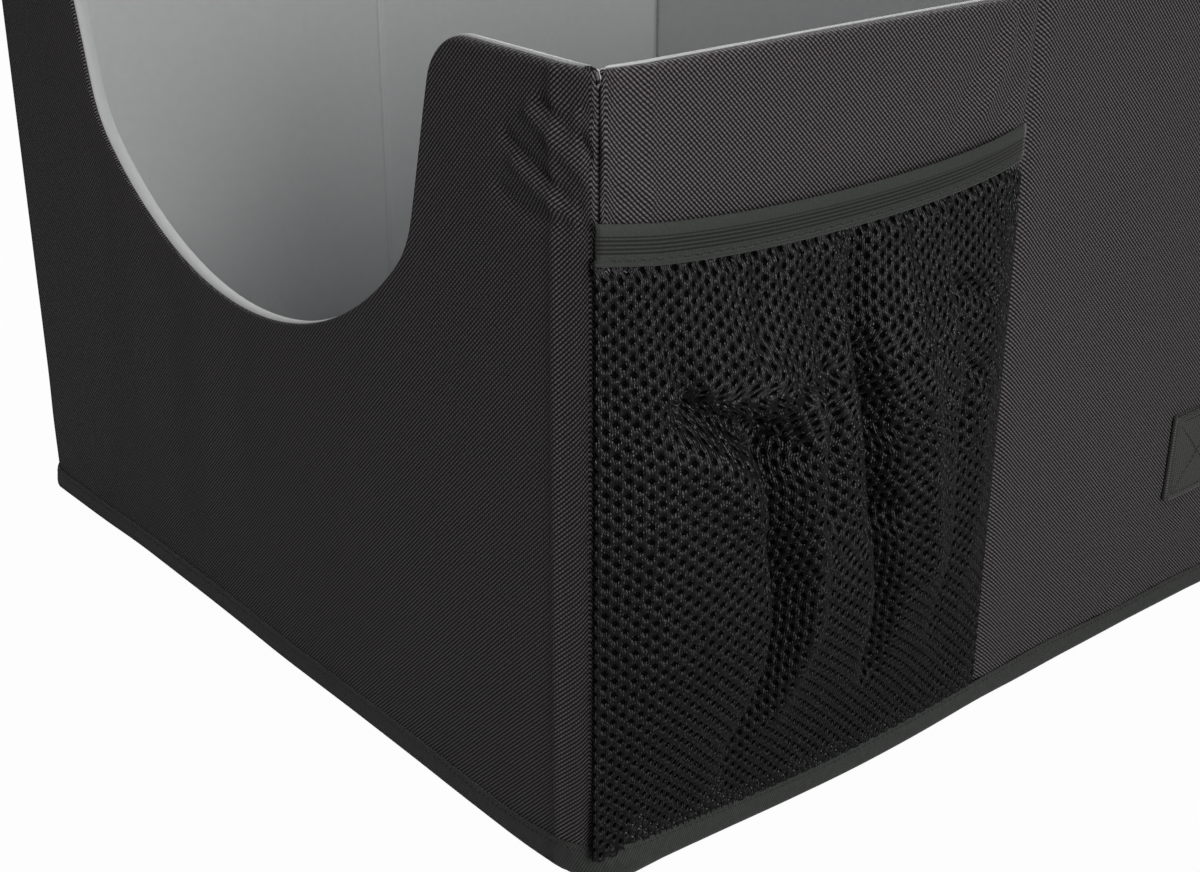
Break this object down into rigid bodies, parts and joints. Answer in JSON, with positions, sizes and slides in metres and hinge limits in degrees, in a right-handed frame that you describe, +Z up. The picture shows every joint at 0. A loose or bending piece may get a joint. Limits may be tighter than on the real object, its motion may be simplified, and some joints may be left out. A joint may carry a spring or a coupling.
{
  "type": "fabric storage box",
  "caption": "Folding padded fabric box for a car, with a scooped front wall, a pale lining, a gathered mesh side pocket with an elastic hem, a loose floor pad and webbing straps.",
  "frame": {"origin": "middle of the underside of the base", "axes": "+Z up; the scooped front wall faces -Y; the side wall with the mesh pocket faces +X"},
  "size_m": [0.5782, 0.515, 0.365],
  "materials": {
    "outer_fabric": "charcoal black polyester twill",
    "stiff_board": "matt foam board",
    "pale_lining": "smooth light grey lining",
    "binding_tape": "dark grey-green twill tape",
    "pad_cloth": "light grey brushed cloth",
    "spacer_mesh": "black knitted mesh",
    "ribbed_elastic": "dark olive-grey ribbed elastic",
    "webbing": "dark grey-green webbing"
  },
  "bodies": {
    "root": {"front_cover": "outer_fabric", "front_board": "stiff_board", "front_lining": "pale_lining", "back_cover": "outer_fabric", "back_board": "stiff_board", "back_lining": "pale_lining", "right_cover": "outer_fabric", "right_front_board": "stiff_board", "right_rear_board": "stiff_board", "right_lining": "pale_lining", "left_cover": "outer_fabric", "left_front_board": "stiff_board", "left_rear_board": "stiff_board", "left_lining": "pale_lining", "base_cover": "outer_fabric", "base_board": "stiff_board", "floor_lining": "pale_lining", "bottom_binding": "binding_tape", "floor_pad": "pad_cloth", "pocket_mesh": "spacer_mesh", "pocket_elastic": "ribbed_elastic", "right_strap": "webbing", "left_strap": "webbing"}
  },
  "joints": []
}
